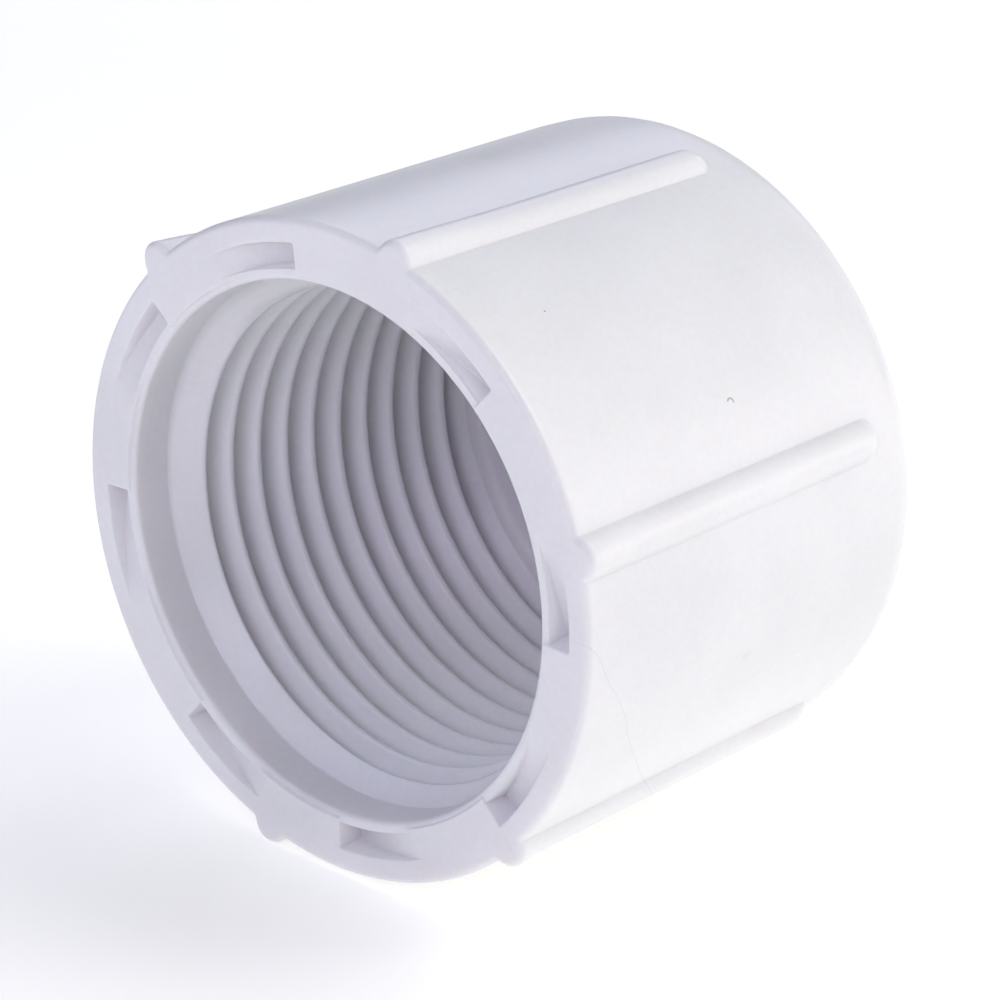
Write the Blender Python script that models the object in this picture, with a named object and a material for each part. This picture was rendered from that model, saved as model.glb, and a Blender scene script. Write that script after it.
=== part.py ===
"""Female-threaded pipe cap for a 1 inch pipe thread, one white PVC-U moulding.

The cap lies on its side. Its axis runs along Y at the height of its rim radius, with the open mouth
towards -Y and the closed end towards +Y. Angles round the axis count clockwise from straight up, as
seen from in front of the mouth, and depths count along +Y from the rim face.
"""

import math

import bmesh
import bpy
from mathutils import Vector

MM = 0.001

# Outside of the body
RIM_RADIUS = 20.5 * MM
LENGTH = 31.1 * MM
DRAFT = math.radians(1.0)
RIM_EDGE_ROUND = 0.4 * MM
CLOSED_END_ROUND = 3.1 * MM

# Bore, from the mouth inwards
LIP_RADIUS = 16.98 * MM
COUNTERBORE_RADIUS = 16.66 * MM
LIP_DEPTH = 0.6 * MM
COUNTERBORE_DEPTH = 2.9 * MM
BORE_DEPTH = 28.1 * MM
BORE_FOOT_ROUND = 0.8 * MM

# Parallel pipe thread, 1 inch nominal with 11 turns to the inch, right-handed
THREAD_PITCH = 25.4 / 11 * MM
THREAD_CREST_RADIUS = 15.15 * MM
THREAD_ROOT_RADIUS = 16.6 * MM
THREAD_LEAD_IN_ANGLE = math.radians(42)
THREAD_TURNS = 10
THREAD_START_DEPTH = 4.03 * MM
THREAD_FADE_TURNS = 0.2
THREAD_LEAST_SHARE = 0.04
THREAD_ROOT_HALF_WIDTH = 0.09 * THREAD_PITCH
THREAD_BASE_HALF_WIDTH = 0.41 * THREAD_PITCH
THREAD_BASE_OVERLAP = 0.3 * MM

# Grip ribs: places 60 degrees apart, with the one on the far left left out
RIB_PLACES = 6
RIB_LEFT_OUT = 4
RIB_CREST_ROUND = 1.5 * MM
RIB_HEIGHT = 0.76 * MM
RIB_SET_BACK = 0.1 * MM
RIB_END_DEPTH = 26.5 * MM

# Ratchet pockets that the moulding tool's stripper ring leaves in the rim face
POCKET_STEEP_DEGREES = (44.3, 91.8, 133.5, 178.3, 221.5, 268.0, 310.3, 352.8)
POCKET_SPAN = math.radians(22)
POCKET_INNER_RADIUS = 17.2 * MM
POCKET_OUTER_RADIUS = 19.1 * MM
POCKET_DEPTH = 1.8 * MM

# Facets: half a step of offset lays a flat facet, not an edge, straight down
TURN_SEGMENTS = 48
TURN_STEP = math.tau / TURN_SEGMENTS
TURN_OFFSET = TURN_STEP / 2
THREAD_START_ANGLE = TURN_STEP
RIB_SEGMENTS = 14
RIB_BALL_DEGREES = (0, 20, 40, 55, 68)
POCKET_STEPS = 5
CUT_CLEARANCE = 0.5 * MM

# The first rib past straight down touches the same floor as the rim's lowest point
RIB_ANGLE = math.acos((RIM_RADIUS - RIB_CREST_ROUND) / (RIM_RADIUS + RIB_HEIGHT - RIB_CREST_ROUND))


def around(angle, radius, depth):
    """The point at this angle, radius and depth, with the axis on Y and the rim face at zero."""
    return Vector((radius * math.sin(angle), depth, radius * math.cos(angle)))


def arc(centre_radius, centre_depth, size, start, end, steps):
    """Profile points of a round edge, as (radius, depth), with angles from outwards to deeper."""
    points = []
    for step in range(steps + 1):
        turn = math.radians(start + (end - start) * step / steps)
        points.append((centre_radius + size * math.cos(turn), centre_depth + size * math.sin(turn)))
    return points


def body_radius(depth):
    """Outer radius of the drafted body."""
    return RIM_RADIUS - math.tan(DRAFT) * depth


def shell_profile():
    """The cap's turned outline, from the middle of the closed end round to the bore's foot."""
    end_centre = body_radius(LENGTH) - CLOSED_END_ROUND
    lead_in = (COUNTERBORE_RADIUS - THREAD_CREST_RADIUS) / math.tan(THREAD_LEAD_IN_ANGLE)
    profile = [(0, LENGTH)]
    profile += arc(end_centre, LENGTH - CLOSED_END_ROUND, CLOSED_END_ROUND, 90, 0, 6)
    profile += arc(RIM_RADIUS - RIM_EDGE_ROUND, RIM_EDGE_ROUND, RIM_EDGE_ROUND, 0, -90, 3)
    profile += [(LIP_RADIUS, 0), (COUNTERBORE_RADIUS, LIP_DEPTH), (COUNTERBORE_RADIUS, COUNTERBORE_DEPTH)]
    profile += [(THREAD_CREST_RADIUS, COUNTERBORE_DEPTH + lead_in)]
    foot_centre = THREAD_CREST_RADIUS - BORE_FOOT_ROUND
    profile += arc(foot_centre, BORE_DEPTH - BORE_FOOT_ROUND, BORE_FOOT_ROUND, 0, 90, 3)
    profile += [(0, BORE_DEPTH)]
    return profile


def finish_mesh(bm, name):
    """Faces out, then a new mesh with this name."""
    bmesh.ops.recalc_face_normals(bm, faces=bm.faces)
    mesh = bpy.data.meshes.new(name)
    bm.to_mesh(mesh)
    bm.free()
    return mesh


def turned_shell():
    """The outline spun once round the Y axis."""
    bm = bmesh.new()
    points = [bm.verts.new(around(TURN_OFFSET, radius, depth)) for radius, depth in shell_profile()]
    outline = [bm.edges.new(pair) for pair in zip(points, points[1:])]
    bmesh.ops.spin(
        bm,
        geom=points + outline,
        axis=(0, 1, 0),
        cent=(0, 0, 0),
        angle=math.tau,
        steps=TURN_SEGMENTS,
        use_merge=True,
    )
    bmesh.ops.remove_doubles(bm, verts=bm.verts, dist=1e-6)
    return finish_mesh(bm, "threaded_cap")


def bridge_rings(bm, rings):
    """A closed tube through rings of equally many points, with a cap on each end."""
    loops = [[bm.verts.new(point) for point in ring] for ring in rings]
    for near, far in zip(loops, loops[1:]):
        for i in range(len(near)):
            j = (i + 1) % len(near)
            bm.faces.new((near[i], near[j], far[j], far[i]))
    bm.faces.new(loops[0])
    bm.faces.new(reversed(loops[-1]))


def add_rib(bm, angle):
    """A round-topped bar along the body, half sunk into it, with a ball-shaped far end."""
    out = around(angle, 1, 0)
    side = around(angle + math.pi / 2, 1, 0)
    sunk = RIB_CREST_ROUND - RIB_HEIGHT
    ball_depth = RIB_END_DEPTH - math.sqrt(RIB_CREST_ROUND**2 - sunk**2)
    stations = [(RIB_SET_BACK, RIB_CREST_ROUND)]
    for degrees in RIB_BALL_DEGREES:
        turn = math.radians(degrees)
        stations.append((ball_depth + RIB_CREST_ROUND * math.sin(turn), RIB_CREST_ROUND * math.cos(turn)))
    rings = []
    for depth, size in stations:
        centre = around(angle, body_radius(depth) + RIB_HEIGHT - RIB_CREST_ROUND, depth)
        turns = [math.tau * step / RIB_SEGMENTS for step in range(RIB_SEGMENTS)]
        rings.append([centre + size * (out * math.cos(turn) + side * math.sin(turn)) for turn in turns])
    bridge_rings(bm, rings)


def add_pocket(bm, steep_angle):
    """A wedge that starts at nothing and deepens clockwise to a steep end wall."""
    rings = []
    for step in range(POCKET_STEPS + 1):
        share = step / POCKET_STEPS
        angle = steep_angle - POCKET_SPAN * (1 - share)
        floor = POCKET_DEPTH * share
        rings.append(
            [
                around(angle, POCKET_INNER_RADIUS, -CUT_CLEARANCE),
                around(angle, POCKET_OUTER_RADIUS, -CUT_CLEARANCE),
                around(angle, POCKET_OUTER_RADIUS, floor),
                around(angle, POCKET_INNER_RADIUS, floor),
            ]
        )
    bridge_rings(bm, rings)


def thread_ring(turns):
    """The groove's cross-section this many turns from its start. It is shallow near both ends."""
    angle = THREAD_START_ANGLE + math.tau * turns
    middle = THREAD_START_DEPTH + THREAD_PITCH * turns
    share = min(1, turns / THREAD_FADE_TURNS, (THREAD_TURNS - turns) / THREAD_FADE_TURNS)
    base = THREAD_CREST_RADIUS - THREAD_BASE_OVERLAP
    root = THREAD_CREST_RADIUS + (THREAD_ROOT_RADIUS - THREAD_CREST_RADIUS) * max(share, THREAD_LEAST_SHARE)
    return [
        around(angle, base, middle - THREAD_BASE_HALF_WIDTH),
        around(angle, root, middle - THREAD_ROOT_HALF_WIDTH),
        around(angle, root, middle + THREAD_ROOT_HALF_WIDTH),
        around(angle, base, middle + THREAD_BASE_HALF_WIDTH),
    ]


def add_thread(bm):
    """The helical groove, whose rings fall half way between the shell's own edges."""
    steps = THREAD_TURNS * TURN_SEGMENTS
    bridge_rings(bm, [thread_ring(step / TURN_SEGMENTS) for step in range(steps + 1)])


def helper(name, bm, host, operation):
    """A hidden shape and the Boolean that applies it to its host."""
    shape = bpy.data.objects.new(name, finish_mesh(bm, name))
    bpy.context.scene.collection.objects.link(shape)
    shape.parent = host
    shape.hide_render = True
    shape.display_type = "WIRE"
    boolean = host.modifiers.new(name, "BOOLEAN")
    boolean.operation = operation
    boolean.object = shape
    boolean.solver = "EXACT"


def white_pvc():
    """Semi-gloss white PVC-U."""
    material = bpy.data.materials.new("white_pvc")
    material.use_nodes = True
    shader = material.node_tree.nodes["Principled BSDF"]
    shader.inputs["Base Color"].default_value = (0.84, 0.85, 0.89, 1)
    shader.inputs["Roughness"].default_value = 0.38
    shader.inputs["Metallic"].default_value = 0
    return material


def threaded_cap():
    """The whole moulding: shell, grip ribs, thread and ratchet pockets in one body."""
    cap = bpy.data.objects.new("threaded_cap", turned_shell())
    bpy.context.scene.collection.objects.link(cap)
    cap.location = (0, -LENGTH / 2, RIM_RADIUS)
    cap.data.materials.append(white_pvc())

    ribs = bmesh.new()
    for place in range(RIB_PLACES):
        if place != RIB_LEFT_OUT:
            add_rib(ribs, RIB_ANGLE + math.tau * place / RIB_PLACES)
    helper("grip_ribs", ribs, cap, "UNION")

    pockets = bmesh.new()
    for degrees in POCKET_STEEP_DEGREES:
        add_pocket(pockets, math.radians(degrees))
    helper("ratchet_pockets", pockets, cap, "DIFFERENCE")

    thread = bmesh.new()
    add_thread(thread)
    helper("thread_groove", thread, cap, "DIFFERENCE")

    cap.data.shade_smooth()
    cap.data.set_sharp_from_angle(angle=math.radians(30))


def main():
    for old in list(bpy.data.objects):
        bpy.data.objects.remove(old)
    threaded_cap()


main()
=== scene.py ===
"""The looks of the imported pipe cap: one fine moulded surface in white PVC-U, on a pale studio floor.

Angles round the cap's axis count clockwise from straight up, as seen from in front of the mouth.
Depths count from the rim face towards the closed end. Lengths are in metres, as in the frame.
"""

import math

import bpy
import numpy as np
from mathutils import Matrix, Vector

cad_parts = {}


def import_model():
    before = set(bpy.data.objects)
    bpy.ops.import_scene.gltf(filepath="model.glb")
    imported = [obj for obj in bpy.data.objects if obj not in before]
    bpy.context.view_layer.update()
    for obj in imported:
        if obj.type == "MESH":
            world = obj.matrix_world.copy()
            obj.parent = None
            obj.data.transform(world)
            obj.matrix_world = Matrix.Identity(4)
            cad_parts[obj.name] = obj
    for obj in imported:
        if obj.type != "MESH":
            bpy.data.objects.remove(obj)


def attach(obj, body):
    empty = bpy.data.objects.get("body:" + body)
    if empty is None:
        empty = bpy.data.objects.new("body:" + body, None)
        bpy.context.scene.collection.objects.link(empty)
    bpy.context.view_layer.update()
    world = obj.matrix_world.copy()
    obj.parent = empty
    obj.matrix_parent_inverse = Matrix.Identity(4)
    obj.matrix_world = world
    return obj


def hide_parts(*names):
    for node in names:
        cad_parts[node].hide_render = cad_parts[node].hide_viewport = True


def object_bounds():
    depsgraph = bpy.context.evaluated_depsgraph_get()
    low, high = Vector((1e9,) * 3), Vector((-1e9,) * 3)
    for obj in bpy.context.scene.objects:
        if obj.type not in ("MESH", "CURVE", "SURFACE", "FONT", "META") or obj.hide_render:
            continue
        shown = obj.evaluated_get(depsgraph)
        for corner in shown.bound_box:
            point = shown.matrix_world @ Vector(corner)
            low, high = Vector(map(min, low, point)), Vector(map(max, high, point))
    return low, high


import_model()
cad_low, cad_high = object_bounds()

MM = 0.001

# ---------------------------------------------------------------- body, from the frame and its sizes
MOUTH_Y = cad_low.y
LENGTH = cad_high.y - cad_low.y
RIM_RADIUS = 20.5 * MM
DRAFT = math.radians(1.0)
RIM_EDGE_ROUND = 0.42 * MM
CLOSED_END_ROUND = 3.1 * MM
GATE_DIMPLE_RADIUS = 2.6 * MM
GATE_DIMPLE_DEPTH = 0.18 * MM
GATE_DIMPLE_FLAT = 0.86

# Bore, from the mouth inwards
LIP_OUTER_RADIUS = 17.04 * MM
LIP_ROUND = 0.28 * MM
LIP_STEP = 0.2 * MM
LIP_SINK_DEPTH = 0.2 * MM
COUNTERBORE_RADIUS = 16.66 * MM
COUNTERBORE_DEPTH = 2.9 * MM
BORE_DEPTH = 28.1 * MM
BORE_FOOT_ROUND = 0.8 * MM

# Parallel pipe thread: 11 turns to the inch, right-handed, with rounded crests and roots
PITCH = 25.4 / 11 * MM
CREST_RADIUS = 15.15 * MM
ROOT_RADIUS = 16.6 * MM
FLANK_ANGLE = math.radians(27.5)
THREAD_ROUND = 0.1373 * PITCH
LEAD_IN_ANGLE = math.radians(42)
THREAD_TURNS = 10
THREAD_START_DEPTH = 4.03 * MM
THREAD_START_ANGLE = math.radians(7.5)
THREAD_FADE_TURNS = 0.25
THREAD_SPARE = 0.1 * MM

# Grip ribs: places 60 degrees apart, with one left out
RIB_PLACES = 6
RIB_LEFT_OUT = 4
RIB_CREST_ROUND = 1.5 * MM
RIB_HEIGHT = 0.76 * MM
RIB_FILLET = 0.08 * MM
RIB_END_DEPTH = 26.5 * MM
RIB_HALF_WIDTH = 1.35 * MM
RIB_ANGLE = math.radians(15.84)
# The ribs' noses stand a little higher near the rim: extra share of height, and how deep it reaches
RIB_FLARES = {
    0: (0.36, 12 * MM),
    1: (0.2, 3 * MM),
    2: (0.22, 2.2 * MM),
    3: (0.3, 2.2 * MM),
    5: (0.58, 6.4 * MM),
}
# How far each rib stands off its even place, in degrees
RIB_SHIFTS = {0: 0.0, 1: -0.9, 2: -1.2, 3: 0.0, 5: 0.3}

# Ratchet pockets in the rim face
POCKET_STEEP_DEGREES = (44.3, 91.8, 133.5, 178.3, 221.5, 268.0, 310.3, 352.8)
POCKET_SPAN = math.radians(22)
POCKET_INNER_RADIUS = 17.2 * MM
POCKET_OUTER_RADIUS = 19.1 * MM
POCKET_DEPTH = 1.8 * MM
POCKET_EDGE_ROUND = 0.14 * MM
POCKET_WALL_DRAFT = 0.06 * MM

# The mouth has sprung a little out of round. The closed end holds the far end round.
OVALITY = 0.0106
OVAL_ANGLE = math.radians(83)

# Mesh columns: the even step, how near two columns may stand, and how far an even one keeps from the rest
COLUMN_STEP = math.radians(2.0)
LEAST_COLUMN_GAP = math.radians(0.04)
EVEN_COLUMN_GAP = 0.35 * COLUMN_STEP

# Mesh rings: extra points beside rounded shapes, shares of a radius, and depths from the rim
WALL_SPARE = 0.07 * MM
RIB_SKIRTS = (0.1 * MM, 0.35 * MM)
GATE_SHARES = (0.35, 0.7, 0.86, 0.92, 0.97, 1.0)
END_SHARES = (0.25, 0.6, 0.97)
FOOT_SHARES = (0.97, 0.66, 0.33)
RIB_END_SPARE = 0.2 * MM
PLAIN_RIB_DEPTH = 8 * MM
FLARED_RIB_DEPTH = 6.6 * MM
RIM_EDGE_SPARE = 0.3 * MM
POCKET_RIM_SPARES = (0.7 * MM, 0.25 * MM)
COUNTERBORE_SPARE = 0.1 * MM
# The small step from the pockets' land down to the lip, as radius from the lip's edge and share of depth
LIP_STEP_POINTS = ((0.03 * MM, 0.0), (0.0, 0.1), (-0.04 * MM, 0.85), (-0.07 * MM, 1.0))
POCKET_LAND_SPARE = 0.05 * MM
# Thread rows start this many pitches before the threaded stretch, so that the helix covers it all
THREAD_SPARE_TURNS = 2.2
# Rows within this distance of the stretch's ends join its end rings
THREAD_SNAP = 0.02 * MM


# ---------------------------------------------------------------- curves

def smooth(share):
    """0 to 1 with level ends."""
    share = np.clip(share, 0, 1)
    return share * share * (3 - 2 * share)


def quarter(steps):
    """Shares of a quarter circle: how far along and how far up each of its points is."""
    turn = np.linspace(0, math.pi / 2, steps + 1)
    return np.sin(turn), 1 - np.cos(turn)


def wall_outline():
    """A pocket wall from the face down to the floor, as distance into the pocket and share of depth."""
    along, up = quarter(4)
    edge = POCKET_EDGE_ROUND / POCKET_DEPTH
    top = list(zip(along * POCKET_EDGE_ROUND, up * edge))
    far = 2 * POCKET_EDGE_ROUND + POCKET_WALL_DRAFT
    foot = [(far - reach, 1 - share) for reach, share in reversed(top)]
    return np.array([(-WALL_SPARE, 0.0)] + top + foot + [(far + WALL_SPARE, 1.0)])


WALL = wall_outline()


def rib_outline():
    """Half of a rib's cross-section, as distance from its middle and height over the body."""
    centre = RIB_HEIGHT - RIB_CREST_ROUND
    reach = RIB_CREST_ROUND + RIB_FILLET
    foot = math.sqrt(reach**2 - (RIB_FILLET - centre) ** 2)
    turn = math.atan2(foot, RIB_FILLET - centre)
    crest = [(RIB_CREST_ROUND * math.sin(a), centre + RIB_CREST_ROUND * math.cos(a))
             for a in np.linspace(0, turn, 7)]
    fillet = [(foot - RIB_FILLET * math.sin(a), RIB_FILLET - RIB_FILLET * math.cos(a))
              for a in np.linspace(turn, 0, 4)[1:]]
    return np.array(crest + fillet + [(foot + skirt, 0.0) for skirt in RIB_SKIRTS])


RIB = rib_outline()
RIB_MIDDLES = {place: RIB_ANGLE + math.tau * place / RIB_PLACES + math.radians(RIB_SHIFTS[place])
               for place in range(RIB_PLACES) if place != RIB_LEFT_OUT}
POCKET_ENDS = [math.radians(degrees) for degrees in POCKET_STEEP_DEGREES]
POCKET_MIDDLE_RADIUS = (POCKET_INNER_RADIUS + POCKET_OUTER_RADIUS) / 2


def turn_from(angles, middle):
    """Signed angle from middle to each angle, within half a turn."""
    return (angles - middle + math.pi) % math.tau - math.pi


def column_angles():
    """The mesh's columns: even all round, and closer over each rib and at each pocket's steep end."""
    close = []
    for middle in RIB_MIDDLES.values():
        offsets = RIB[:, 0] / RIM_RADIUS
        close += [middle - offset for offset in offsets] + [middle + offset for offset in offsets[1:]]
    for end in POCKET_ENDS:
        close += [end - offset / POCKET_MIDDLE_RADIUS for offset in WALL[:, 0]]
        close.append(end - POCKET_SPAN)
    close = sorted(angle % math.tau for angle in close)
    kept = [close[0]]
    for angle in close[1:]:
        if angle - kept[-1] > LEAST_COLUMN_GAP:
            kept.append(angle)
    kept = np.array(kept)
    even = [angle for angle in np.arange(0, math.tau, COLUMN_STEP)
            if np.abs(turn_from(kept, angle)).min() > EVEN_COLUMN_GAP]
    return np.sort(np.concatenate([kept, even]))


ANGLES = column_angles()


def rib_height(angles, depth):
    """Height of the ribs over the body at these angles, at one depth."""
    height = np.zeros_like(angles)
    for place, middle in RIB_MIDDLES.items():
        past_end = max(0.0, depth - (RIB_END_DEPTH - RIB_HALF_WIDTH))
        reach = np.hypot(turn_from(angles, middle) * RIM_RADIUS, past_end)
        extra, flare_depth = RIB_FLARES[place]
        taller = 1 + extra * (1 - smooth(depth / flare_depth))
        height = np.maximum(height, taller * np.interp(reach, RIB[:, 0], RIB[:, 1]))
    return height


def pocket_floor(angles):
    """Depth of the pockets' floors at these angles: a ramp that ends at a steep wall."""
    floor = np.zeros_like(angles)
    for end in POCKET_ENDS:
        back = -turn_from(angles, end)
        ramp = np.clip(1 - back / POCKET_SPAN, 0, 1) * (back > 0)
        wall = np.interp(back * POCKET_MIDDLE_RADIUS, WALL[:, 0], WALL[:, 1])
        floor = np.maximum(floor, ramp * wall)
    return floor * POCKET_DEPTH


def body_radius(depth):
    """Outer radius of the drafted body."""
    return RIM_RADIUS - math.tan(DRAFT) * depth


# ---------------------------------------------------------------- mesh

class Surface:
    """Points and faces, built ring by ring. Every ring has one point for each column."""

    def __init__(self):
        self.points = []
        self.faces = []

    def ring(self, radius, depth, angles=ANGLES):
        """Adds a ring; radius and depth are numbers or one value for each column."""
        radius = np.broadcast_to(radius, angles.shape)
        depth = np.broadcast_to(depth, angles.shape)
        out_of_round = OVALITY * np.cos(2 * (angles - OVAL_ANGLE)) * (1 - depth / LENGTH)
        radius = radius * (1 + out_of_round)
        start = len(self.points)
        x = radius * np.sin(angles)
        z = RIM_RADIUS + radius * np.cos(angles)
        self.points += list(zip(x.tolist(), (MOUTH_Y + depth).tolist(), z.tolist()))
        return list(range(start, start + len(angles)))

    def join(self, near, far):
        """Faces between two rings, or between a ring and a single point."""
        for i in range(len(near)):
            j = (i + 1) % len(near)
            corners = (near[i], near[j], far[j], far[i])
            self.face(corners)

    def face(self, corners):
        """A face, without corners that are the same point."""
        whole = [c for k, c in enumerate(corners) if c != corners[k - 1]][::-1]
        if len(whole) > 2:
            self.faces.append(whole)

    def pole(self, depth):
        """A ring that is one point on the axis."""
        self.points.append((0.0, MOUTH_Y + depth, RIM_RADIUS))
        return [len(self.points) - 1] * len(ANGLES)


def outside_rings(surface):
    """From the middle of the closed end, over the corner and along the ribbed body, to the rim face."""
    rings = [surface.pole(LENGTH - GATE_DIMPLE_DEPTH)]
    for share in GATE_SHARES:
        sunk = GATE_DIMPLE_DEPTH * (1 - smooth((share - GATE_DIMPLE_FLAT) / (1 - GATE_DIMPLE_FLAT)))
        rings.append(surface.ring(GATE_DIMPLE_RADIUS * share, LENGTH - sunk))
    corner = body_radius(LENGTH) - CLOSED_END_ROUND
    for share in END_SHARES:
        rings.append(surface.ring(GATE_DIMPLE_RADIUS + (corner - GATE_DIMPLE_RADIUS) * share, LENGTH))
    centre_depth = LENGTH - CLOSED_END_ROUND
    for turn in np.linspace(math.pi / 2, 0, 13):
        depth = centre_depth + CLOSED_END_ROUND * math.sin(turn)
        rings.append(surface.ring(corner + CLOSED_END_ROUND * math.cos(turn), depth))
    # the ribs' ball ends, their plain stretch, and their noses near the rim
    depths = [*np.linspace(RIB_END_DEPTH + RIB_END_SPARE, RIB_END_DEPTH - RIB_HALF_WIDTH, 15),
              *np.linspace(RIB_END_DEPTH - 2 * RIB_HALF_WIDTH, PLAIN_RIB_DEPTH, 7),
              *np.linspace(FLARED_RIB_DEPTH, RIM_EDGE_ROUND + RIM_EDGE_SPARE, 10)]
    for depth in depths:
        rings.append(surface.ring(body_radius(depth) + rib_height(ANGLES, depth), depth))
    # the rim edge is rounded along the whole outline, ribs included
    radius = RIM_RADIUS + rib_height(ANGLES, 0)
    around = np.concatenate([ANGLES[-1:] - math.tau, ANGLES, ANGLES[:1] + math.tau])
    slope = np.gradient(np.concatenate([radius[-1:], radius, radius[:1]]), around)[1:-1] / radius
    for turn in np.linspace(0, math.pi / 2, 6):
        inset = RIM_EDGE_ROUND * (1 - math.cos(turn))
        across = inset / np.sqrt(1 + slope**2)
        shifted = ANGLES + slope * across / radius
        rings.append(surface.ring(radius - across, RIM_EDGE_ROUND * (1 - math.sin(turn)), shifted))
    return rings


def face_rings(surface):
    """The rim face with its ratchet pockets, and the lip round the counterbore."""
    floor = pocket_floor(ANGLES)
    # where a pocket is open, the land inside it is sunk to the lip's level
    lip_level = LIP_STEP * smooth(floor / LIP_SINK_DEPTH)
    rings = []
    for spare in POCKET_RIM_SPARES:
        rings.append(surface.ring(POCKET_OUTER_RADIUS + spare, 0.0))
    for reach, share in WALL:
        rings.append(surface.ring(POCKET_OUTER_RADIUS - reach, floor * share))
    rings.append(surface.ring(POCKET_MIDDLE_RADIUS, floor))
    for reach, share in WALL[::-1][:-1]:
        depth = np.maximum(floor * share, lip_level * (1 - share))
        rings.append(surface.ring(POCKET_INNER_RADIUS + reach, depth))
    rings.append(surface.ring(POCKET_INNER_RADIUS - POCKET_LAND_SPARE, lip_level))
    for reach, share in LIP_STEP_POINTS:
        rings.append(surface.ring(LIP_OUTER_RADIUS + reach, lip_level + (LIP_STEP - lip_level) * share))
    round_start = COUNTERBORE_RADIUS + LIP_ROUND
    along, up = quarter(5)
    for a, u in zip(along, up):
        rings.append(surface.ring(round_start - LIP_ROUND * a, LIP_STEP + LIP_ROUND * u))
    for depth in np.linspace(LIP_ROUND + 2 * LIP_STEP, COUNTERBORE_DEPTH - COUNTERBORE_SPARE, 3):
        rings.append(surface.ring(COUNTERBORE_RADIUS, depth))
    return rings


def thread_samples():
    """One pitch of the thread, as share of the pitch from a groove's middle and radius."""
    arc_turn = math.pi / 2 - FLANK_ANGLE
    points = []
    for turn in np.linspace(0, arc_turn, 4):
        along = THREAD_ROUND * math.sin(turn) / PITCH
        points.append((along, ROOT_RADIUS - THREAD_ROUND * (1 - math.cos(turn))))
    for turn in np.linspace(arc_turn, 0, 4):
        along = THREAD_ROUND * math.sin(turn) / PITCH
        points.append((0.5 - along, CREST_RADIUS + THREAD_ROUND * (1 - math.cos(turn))))
    points += [(1 - share, radius) for share, radius in reversed(points[1:-1])]
    return np.array(points)


def thread_rings(surface, start_depth, end_depth):
    """The threaded stretch. Its rows follow the helix, between a ring near the mouth and one at the foot."""
    samples = thread_samples()
    per_turn = len(samples)
    first = start_depth - THREAD_SPARE_TURNS * PITCH
    turns = math.ceil((end_depth - first) / PITCH) + 1
    start_ring = surface.ring(lead_in_radius(start_depth), start_depth)
    end_ring = surface.ring(CREST_RADIUS, end_depth)
    offset = THREAD_START_DEPTH - PITCH * THREAD_START_ANGLE / math.tau
    lowest = math.floor((first - offset) / PITCH)
    rows = []
    for turn in range(turns):
        for share, radius in samples:
            depth = offset + (lowest + turn + share) * PITCH + PITCH * ANGLES / math.tau
            groove = lowest + turn + (1 if share > 0.5 else 0)
            along = groove + (ANGLES - THREAD_START_ANGLE) / math.tau
            cut = smooth(along / THREAD_FADE_TURNS) * smooth((THREAD_TURNS - along) / THREAD_FADE_TURNS)
            shape = CREST_RADIUS + (radius - CREST_RADIUS) * cut
            shape = np.maximum(shape, lead_in_radius(depth))
            ids = np.array(surface.ring(shape, depth))
            ids = np.where(depth <= start_depth + THREAD_SNAP, start_ring, ids)
            ids = np.where(depth >= end_depth - THREAD_SNAP, end_ring, ids)
            rows.append(ids.tolist())
    count = len(ANGLES)
    for row in range(len(rows) - 1):
        for i in range(count - 1):
            surface.face((rows[row][i], rows[row][i + 1], rows[row + 1][i + 1], rows[row + 1][i]))
        if row + per_turn + 1 < len(rows):
            across, deeper = rows[row + per_turn], rows[row + per_turn + 1]
            surface.face((rows[row][-1], across[0], deeper[0], rows[row + 1][-1]))
    return start_ring, end_ring


def lead_in_radius(depth):
    """Radius of the cone between the counterbore and the thread's crests."""
    return np.clip(COUNTERBORE_RADIUS - math.tan(LEAD_IN_ANGLE) * (depth - COUNTERBORE_DEPTH),
                   CREST_RADIUS, COUNTERBORE_RADIUS)


def foot_rings(surface):
    """The bore's rounded foot and flat floor."""
    rings = []
    centre = BORE_DEPTH - BORE_FOOT_ROUND
    for turn in np.linspace(0, math.pi / 2, 7):
        radius = CREST_RADIUS - BORE_FOOT_ROUND * (1 - math.cos(turn))
        rings.append(surface.ring(radius, centre + BORE_FOOT_ROUND * math.sin(turn)))
    for share in FOOT_SHARES:
        rings.append(surface.ring((CREST_RADIUS - BORE_FOOT_ROUND) * share, BORE_DEPTH))
    rings.append(surface.pole(BORE_DEPTH))
    return rings


def cap_mesh():
    """The whole surface as one closed mesh with its faces out."""
    surface = Surface()
    rings = outside_rings(surface) + face_rings(surface)
    thread_end = THREAD_START_DEPTH + THREAD_TURNS * PITCH + THREAD_SPARE
    start, end = thread_rings(surface, COUNTERBORE_DEPTH, thread_end)
    rings.append(start)
    for near, far in zip(rings, rings[1:]):
        surface.join(near, far)
    inner = [end] + foot_rings(surface)
    for near, far in zip(inner, inner[1:]):
        surface.join(near, far)
    used = sorted({corner for face in surface.faces for corner in face})
    renumber = {old: new for new, old in enumerate(used)}
    points = np.array([surface.points[old] for old in used])
    lowest = points[:, 2].min()
    points[:, 2] -= lowest
    mesh = bpy.data.meshes.new("cap")
    mesh.from_pydata(points.tolist(), [],
                     [[renumber[corner] for corner in face] for face in surface.faces])
    mesh.validate()
    mesh.shade_smooth()
    return mesh, RIM_RADIUS - lowest


mesh, AXIS_HEIGHT = cap_mesh()
cap = bpy.data.objects.new("cap", mesh)
bpy.context.scene.collection.objects.link(cap)
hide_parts("threaded_cap")
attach(cap, "root")


# ---------------------------------------------------------------- material

# White PVC-U: colour, gloss, and how far light spreads below its skin
PVC_COLOUR = (0.78, 0.78, 0.80)
PVC_ROUGHNESS = 0.355
PVC_IOR = 1.53
GLOW_WEIGHT = 0.45
GLOW_RADIUS = (1.0, 0.75, 0.6)
GLOW_SCALE = 1.8 * MM

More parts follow.
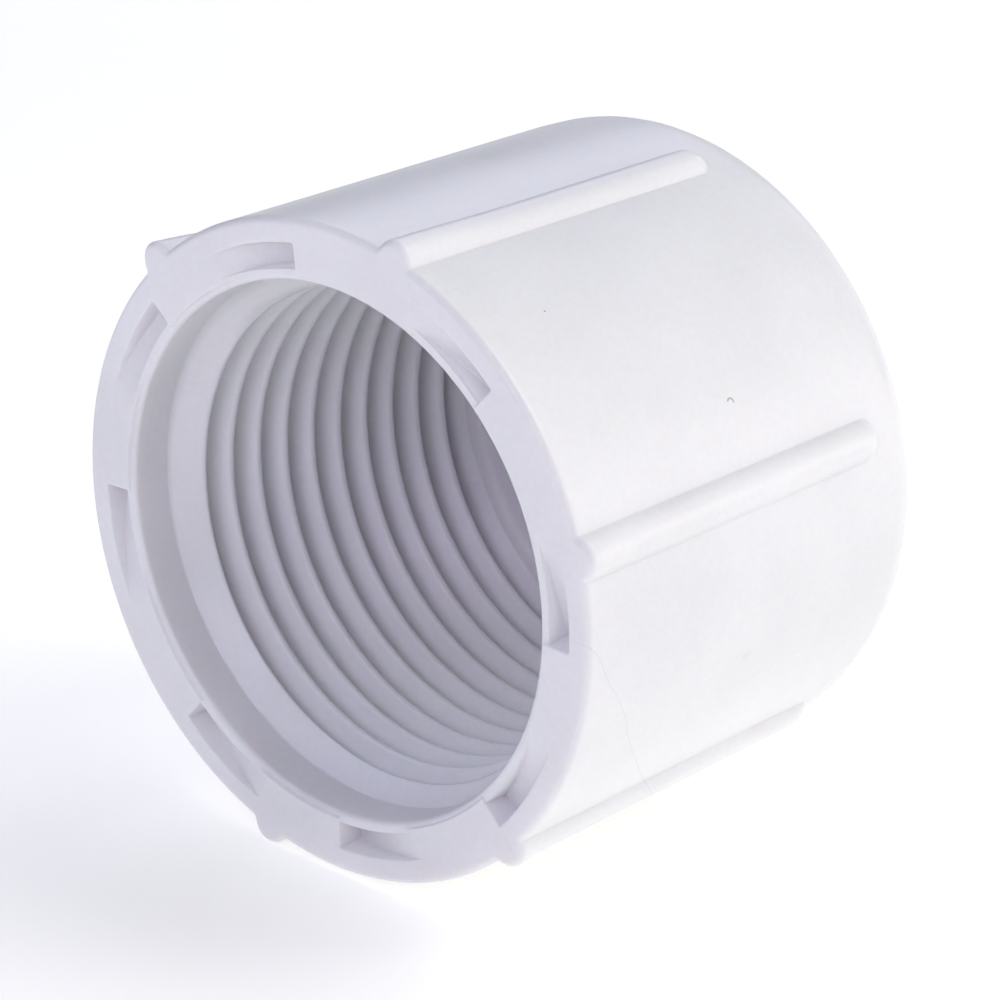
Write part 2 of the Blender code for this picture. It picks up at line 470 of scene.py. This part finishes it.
# Slow clouds and a fine mottle in the colour; the clouds change the gloss too
CLOUD_SCALE = 110
CLOUD_LEVELS = (0.975, 1.02)
CLOUD_ROUGHNESS = 0.035
MOTTLE_SCALE = 2400
MOTTLE_LEVEL = 0.012
# Streaks of gloss along the way the part leaves the mould, as noise cells per radian and per metre
STREAKS_ROUND = 60.0
STREAKS_DEEP = 90.0
STREAK_ROUGHNESS = 0.02
# Fine moulding grain, and the slow swell of a wall that has shrunk
GRAIN_SCALE = 2600
GRAIN_HEIGHT = 0.0015 * MM
SWELL_SCALE = 160
SWELL_HEIGHT = 0.012 * MM
# Turning marks of the mould's core, inside the mouth
TURNING_SCALE = 4200
TURNING_HEIGHT = 0.004 * MM
TURNING_ROUGHNESS = (-0.02, 0.06)
BORE_EDGE_RADIUS = 17.1 * MM
BORE_EDGE_BLEND = 0.1 * MM
# The outside starts over these radii
OUTSIDE_RADII = (19.3 * MM, 19.6 * MM)

# Tiny dark inclusions: one cell in fourteen has one
SPECK_CELL_SCALE = 420
SPECK_RADIUS = 0.075 * MM
SPECK_SHARE = 0.07
SPECK_FAINTEST = 0.25
SPECK_DARKNESS = 0.6
# A hairline flow mark from the rim edge down to the rib, as degrees round the cap and depth in mm
HAIRLINE = ((88.7, 0.0), (91.5, 0.9), (95.75, 1.7), (101.5, 3.2),
            (106.0, 4.2), (110.75, 5.1), (119.5, 7.4), (143.0, 14.9))
HAIRLINE_WIDTH = 0.028 * MM
HAIRLINE_DARKNESS = 0.09
# A small curled fibre pressed into the skin between two ribs
FIBRE_DEGREES = 60.6
FIBRE_DEPTH = 15.25 * MM
FIBRE_RADIUS = 0.24 * MM
FIBRE_WIDTH = 0.04 * MM
FIBRE_DARKNESS = 0.45
# The curl is open on one side: how that side leans, and the distances over which it opens
FIBRE_LEAN = 0.4
FIBRE_OPENING = (-0.02 * MM, 0.05 * MM)
# A faint rubbed patch lower down
RUB_DEGREES = 104.75
RUB_DEPTH = 14.8 * MM
RUB_RADIUS = 0.7 * MM
RUB_DARKNESS = 0.12
RUB_SCALE = 3000


class Nodes:
    """Adds shader nodes to one material."""

    def __init__(self, material):
        self.tree = material.node_tree
        self.shader = self.tree.nodes["Principled BSDF"]

    def feed(self, socket, value):
        """Sets an input to a number or tuple, or links another node's output to it."""
        if isinstance(value, bpy.types.NodeSocket):
            self.tree.links.new(value, socket)
        else:
            socket.default_value = value

    def math(self, operation, *values):
        node = self.tree.nodes.new("ShaderNodeMath")
        node.operation = operation
        for socket, value in zip(node.inputs, values):
            self.feed(socket, value)
        return node.outputs[0]

    def plus(self, first, second):
        return self.math("ADD", first, second)

    def minus(self, first, second):
        return self.math("SUBTRACT", first, second)

    def times(self, first, second):
        return self.math("MULTIPLY", first, second)

    def vector(self, x, y, z):
        node = self.tree.nodes.new("ShaderNodeCombineXYZ")
        for socket, value in zip(node.inputs, (x, y, z)):
            self.feed(socket, value)
        return node.outputs[0]

    def noise(self, vector, scale, detail=2.0):
        node = self.tree.nodes.new("ShaderNodeTexNoise")
        self.feed(node.inputs["Vector"], vector)
        node.inputs["Scale"].default_value = scale
        node.inputs["Detail"].default_value = detail
        return node.outputs["Fac"]

    def line_noise(self, along, scale):
        node = self.tree.nodes.new("ShaderNodeTexNoise")
        node.noise_dimensions = "1D"
        self.feed(node.inputs["W"], along)
        node.inputs["Scale"].default_value = scale
        node.inputs["Detail"].default_value = 2.0
        return node.outputs["Fac"]

    def ramp(self, value, low, high, out_low=0.0, out_high=1.0):
        """Maps low..high to out_low..out_high, with level ends and clamped."""
        node = self.tree.nodes.new("ShaderNodeMapRange")
        node.interpolation_type = "SMOOTHSTEP"
        for socket, number in zip(node.inputs, (value, low, high, out_low, out_high)):
            self.feed(socket, number)
        return node.outputs[0]

    def bump(self, height, distance, normal=None):
        node = self.tree.nodes.new("ShaderNodeBump")
        node.inputs["Strength"].default_value = 1.0
        self.feed(node.inputs["Distance"], distance)
        self.feed(node.inputs["Height"], height)
        if normal:
            self.feed(node.inputs["Normal"], normal)
        return node.outputs[0]


def place_on_cap(nodes):
    """Sockets for position, depth from the rim, distance from the axis and angle round it."""
    where = nodes.tree.nodes.new("ShaderNodeTexCoord").outputs["Object"]
    split = nodes.tree.nodes.new("ShaderNodeSeparateXYZ")
    nodes.feed(split.inputs[0], where)
    x = split.outputs[0]
    depth = nodes.minus(split.outputs[1], MOUTH_Y)
    z = nodes.minus(split.outputs[2], AXIS_HEIGHT)
    radius = nodes.math("SQRT", nodes.plus(nodes.times(x, x), nodes.times(z, z)))
    angle = nodes.math("ARCTAN2", x, z)
    return where, depth, radius, angle


def spot(nodes, depth, angle, degrees, spot_depth):
    """Distance on the outside, in metres, from a place given by degrees and depth, and its two parts."""
    across = nodes.times(nodes.minus(angle, math.radians(degrees)), RIM_RADIUS)
    along = nodes.minus(depth, spot_depth)
    squares = nodes.plus(nodes.times(across, across), nodes.times(along, along))
    return nodes.math("SQRT", squares), across, along


def hairline(nodes, depth, angle):
    """1 on the hairline flow mark, 0 elsewhere."""
    first = HAIRLINE[0][0]
    last, deepest = HAIRLINE[-1]
    curve = nodes.tree.nodes.new("ShaderNodeFloatCurve")
    past_first = nodes.minus(angle, math.radians(first))
    share = nodes.math("DIVIDE", past_first, math.radians(last - first))
    nodes.feed(curve.inputs["Value"], share)
    for degrees, line_depth in HAIRLINE[1:-1]:
        curve.mapping.curves[0].points.new((degrees - first) / (last - first), line_depth / deepest)
    curve.mapping.update()
    target = nodes.times(curve.outputs[0], deepest * MM)
    off = nodes.math("ABSOLUTE", nodes.minus(depth, target))
    on_line = nodes.ramp(off, HAIRLINE_WIDTH, 2 * HAIRLINE_WIDTH, 1.0, 0.0)
    after_start = nodes.math("GREATER_THAN", share, 0.0)
    before_end = nodes.math("LESS_THAN", share, 1.0)
    return nodes.times(on_line, nodes.times(after_start, before_end))


def fibre(nodes, depth, angle):
    """1 on the small curled fibre, 0 elsewhere."""
    off, across, along = spot(nodes, depth, angle, FIBRE_DEGREES, FIBRE_DEPTH)
    ring_off = nodes.math("ABSOLUTE", nodes.minus(off, FIBRE_RADIUS))
    ring = nodes.ramp(ring_off, FIBRE_WIDTH, 2 * FIBRE_WIDTH, 1.0, 0.0)
    open_side = nodes.minus(nodes.times(along, FIBRE_LEAN), across)
    return nodes.times(ring, nodes.ramp(open_side, *FIBRE_OPENING))


def specks(nodes, where):
    """Above 0 on a few tiny dark inclusions, 0 elsewhere."""
    cells = nodes.tree.nodes.new("ShaderNodeTexVoronoi")
    nodes.feed(cells.inputs["Vector"], where)
    cells.inputs["Scale"].default_value = SPECK_CELL_SCALE
    split = nodes.tree.nodes.new("ShaderNodeSeparateXYZ")
    nodes.feed(split.inputs[0], cells.outputs["Color"])
    reach = SPECK_RADIUS * SPECK_CELL_SCALE
    near = nodes.ramp(cells.outputs["Distance"], 0.5 * reach, reach, 1.0, 0.0)
    chosen = nodes.math("LESS_THAN", split.outputs[0], SPECK_SHARE)
    strength = nodes.times(near, nodes.plus(SPECK_FAINTEST, split.outputs[1]))
    return nodes.times(strength, chosen)


def dark_marks(nodes, where, depth, angle, outside):
    """How dark the inclusions, the fibre, the hairline and the rubbed patch are at each point."""
    rub_off = spot(nodes, depth, angle, RUB_DEGREES, RUB_DEPTH)[0]
    rub = nodes.times(nodes.ramp(rub_off, 0.0, RUB_RADIUS, 1.0, 0.0), nodes.noise(where, RUB_SCALE))
    curl = nodes.times(fibre(nodes, depth, angle), outside)
    line = nodes.times(hairline(nodes, depth, angle), outside)
    dark = nodes.times(specks(nodes, where), SPECK_DARKNESS)
    for mark, darkness in ((curl, FIBRE_DARKNESS), (line, HAIRLINE_DARKNESS), (rub, RUB_DARKNESS)):
        dark = nodes.math("MAXIMUM", dark, nodes.times(mark, darkness))
    return dark


def white_pvc():
    """Satin white PVC-U with a slight glow below the skin, grain, turned rings in the mouth and marks."""
    material = bpy.data.materials.new("white_pvc")
    material.use_nodes = True
    nodes = Nodes(material)
    shader = nodes.shader
    where, depth, radius, angle = place_on_cap(nodes)
    in_bore = nodes.ramp(radius, BORE_EDGE_RADIUS, BORE_EDGE_RADIUS + BORE_EDGE_BLEND, 1.0, 0.0)
    outside = nodes.ramp(radius, *OUTSIDE_RADII)

    # colour: the resin, a cloudy variation of a few per cent, then the dark marks
    cloud = nodes.noise(where, CLOUD_SCALE, 4.0)
    mottle = nodes.ramp(nodes.noise(where, MOTTLE_SCALE, 3.0), 0.3, 0.7, -MOTTLE_LEVEL, MOTTLE_LEVEL)
    level = nodes.plus(nodes.ramp(cloud, 0.3, 0.7, *CLOUD_LEVELS), mottle)
    level = nodes.times(level, nodes.minus(1.0, dark_marks(nodes, where, depth, angle, outside)))
    scale = nodes.tree.nodes.new("ShaderNodeVectorMath")
    scale.operation = "SCALE"
    scale.inputs[0].default_value = PVC_COLOUR
    nodes.feed(scale.inputs["Scale"], level)
    nodes.feed(shader.inputs["Base Color"], scale.outputs[0])

    # roughness: cloudy, with streaks on the outside and rings in the turned mouth
    streak_place = nodes.vector(nodes.times(angle, STREAKS_ROUND), nodes.times(depth, STREAKS_DEEP), 0.0)
    streaks = nodes.noise(streak_place, 1.0, 3.0)
    streaks = nodes.ramp(streaks, 0.35, 0.65, -STREAK_ROUGHNESS, STREAK_ROUGHNESS)
    rings = nodes.line_noise(nodes.plus(radius, depth), TURNING_SCALE)
    turned = nodes.ramp(rings, 0.3, 0.7, *TURNING_ROUGHNESS)
    rough = nodes.ramp(cloud, 0.3, 0.7, PVC_ROUGHNESS - CLOUD_ROUGHNESS, PVC_ROUGHNESS + CLOUD_ROUGHNESS)
    rough = nodes.plus(rough, nodes.times(outside, streaks))
    rough = nodes.plus(rough, nodes.times(in_bore, turned))
    nodes.feed(shader.inputs["Roughness"], rough)

    # relief: the slow swell, the grain and the turning marks
    relief = nodes.bump(nodes.noise(where, SWELL_SCALE, 1.0), SWELL_HEIGHT)
    relief = nodes.bump(nodes.noise(where, GRAIN_SCALE, 1.0), GRAIN_HEIGHT, relief)
    relief = nodes.bump(nodes.times(rings, in_bore), TURNING_HEIGHT, relief)
    nodes.feed(shader.inputs["Normal"], relief)

    shader.inputs["Subsurface Weight"].default_value = GLOW_WEIGHT
    shader.inputs["Subsurface Radius"].default_value = GLOW_RADIUS
    shader.inputs["Subsurface Scale"].default_value = GLOW_SCALE
    shader.inputs["IOR"].default_value = PVC_IOR
    return material


cap.data.materials.append(white_pvc())


# ---------------------------------------------------------------- floor, light and camera

CAMERA_AZIMUTH = math.radians(43.44)
CAMERA_ELEVATION = math.radians(22.04)
CAMERA_DISTANCE = 263.6 * MM
CAMERA_LENS_MM = 162.6
CAMERA_SENSOR_MM = 36
CAMERA_CLIP_START = 10 * MM
AIM_RIGHT = 10.11 * MM
AIM_UP = 3.23 * MM

FLOOR_SIDE = 4.0
FLOOR_COLOUR = (0.93, 0.93, 0.93, 1)
FLOOR_GLOW = (0.36, 0.355, 0.33, 1)
FLOOR_ROUGHNESS = 0.9
# Away from the cap the floor glows this many times more, until it is as white as the backdrop
FLOOR_FAR_GLOW = 3.0
FLOOR_GLOW_START = 0.15
FLOOR_GLOW_END = 0.6
WORLD_LIGHT = (0.0, 0.01, 0.04, 1)
BACKDROP = (1, 1, 1, 1)
LAMP_SIZE = 0.3
LAMP_DISTANCE = 0.5
LAMP_AIM = Vector((0, 0, 20 * MM))
# Round soft lamps: degrees to the camera's right, degrees up, and watts of red, green and blue
LAMPS = (
    (-90, 45, (0.31, 0.32, 0.42)),
    (-45, 50, (0.22, 0.25, 0.20)),
    (-20, 30, (0.69, 0.62, 0.80)),
    (45, 15, (0.26, 0.27, 0.22)),
    (90, 10, (0.69, 0.65, 0.64)),
    (90, 45, (0.83, 0.82, 0.78)),
    (135, 20, (0.18, 0.20, 0.25)),
    (135, 60, (0.38, 0.40, 0.35)),
    (180, 35, (0.31, 0.30, 0.38)),
)


def floor():
    """A pale floor that glows a little, so that the shadow stays faint."""
    mesh = bpy.data.meshes.new("floor")
    side = FLOOR_SIDE / 2
    corners = [(-side, -side, 0), (side, -side, 0), (side, side, 0), (-side, side, 0)]
    mesh.from_pydata(corners, [], [(0, 1, 2, 3)])
    ground = bpy.data.objects.new("floor", mesh)
    bpy.context.scene.collection.objects.link(ground)
    material = bpy.data.materials.new("floor")
    material.use_nodes = True
    nodes = Nodes(material)
    shader = nodes.shader
    shader.inputs["Base Color"].default_value = FLOOR_COLOUR
    shader.inputs["Roughness"].default_value = FLOOR_ROUGHNESS
    shader.inputs["Emission Color"].default_value = FLOOR_GLOW
    where = nodes.tree.nodes.new("ShaderNodeTexCoord").outputs["Object"]
    away = nodes.tree.nodes.new("ShaderNodeVectorMath")
    away.operation = "LENGTH"
    nodes.feed(away.inputs[0], where)
    glow = nodes.ramp(away.outputs["Value"], FLOOR_GLOW_START, FLOOR_GLOW_END, 1.0, FLOOR_FAR_GLOW)
    nodes.feed(shader.inputs["Emission Strength"], glow)
    mesh.materials.append(material)


def world():
    """Faint even light from all round, and a plain white backdrop for the eye."""
    studio = bpy.data.worlds.new("studio")
    bpy.context.scene.world = studio
    studio.use_nodes = True
    nodes = studio.node_tree.nodes
    link = studio.node_tree.links.new
    faint = nodes["Background"]
    faint.inputs["Color"].default_value = WORLD_LIGHT
    backdrop = nodes.new("ShaderNodeBackground")
    backdrop.inputs["Color"].default_value = BACKDROP
    seen = nodes.new("ShaderNodeLightPath").outputs["Is Camera Ray"]
    mix = nodes.new("ShaderNodeMixShader")
    link(seen, mix.inputs[0])
    link(faint.outputs[0], mix.inputs[1])
    link(backdrop.outputs[0], mix.inputs[2])
    link(mix.outputs[0], nodes["World Output"].inputs["Surface"])


def lamp(right_of_camera, elevation, watts):
    """A round area light that faces the cap."""
    azimuth = CAMERA_AZIMUTH + math.radians(right_of_camera)
    rise = math.radians(elevation)
    outward = Vector((math.sin(azimuth) * math.cos(rise),
                      -math.cos(azimuth) * math.cos(rise),
                      math.sin(rise)))
    data = bpy.data.lights.new("lamp", "AREA")
    data.shape = "DISK"
    data.size = LAMP_SIZE
    data.energy = max(watts)
    data.color = [part / max(watts) for part in watts]
    light = bpy.data.objects.new("lamp", data)
    bpy.context.scene.collection.objects.link(light)
    light.location = LAMP_AIM + outward * LAMP_DISTANCE
    light.rotation_euler = outward.to_track_quat("Z", "Y").to_euler()


def camera():
    """The photograph's viewpoint: it looks past the rim's centre, which stays off the middle."""
    right = Vector((math.cos(CAMERA_AZIMUTH), math.sin(CAMERA_AZIMUTH), 0))
    back = Vector((math.sin(CAMERA_AZIMUTH) * math.cos(CAMERA_ELEVATION),
                   -math.cos(CAMERA_AZIMUTH) * math.cos(CAMERA_ELEVATION),
                   math.sin(CAMERA_ELEVATION)))
    up = back.cross(right)
    data = bpy.data.cameras.new("camera")
    data.lens = CAMERA_LENS_MM
    data.sensor_width = CAMERA_SENSOR_MM
    data.clip_start = CAMERA_CLIP_START
    eye = bpy.data.objects.new("camera", data)
    bpy.context.scene.collection.objects.link(eye)
    rim_centre = Vector((0, MOUTH_Y, AXIS_HEIGHT))
    place = rim_centre + AIM_RIGHT * right + AIM_UP * up + CAMERA_DISTANCE * back
    turn = Matrix((right, up, back)).transposed()
    eye.matrix_world = Matrix.Translation(place) @ turn.to_4x4()
    bpy.context.scene.camera = eye


floor()
world()
for right_of_camera, elevation, watts in LAMPS:
    lamp(right_of_camera, elevation, watts)
camera()
bpy.context.scene.view_settings.view_transform = "Standard"
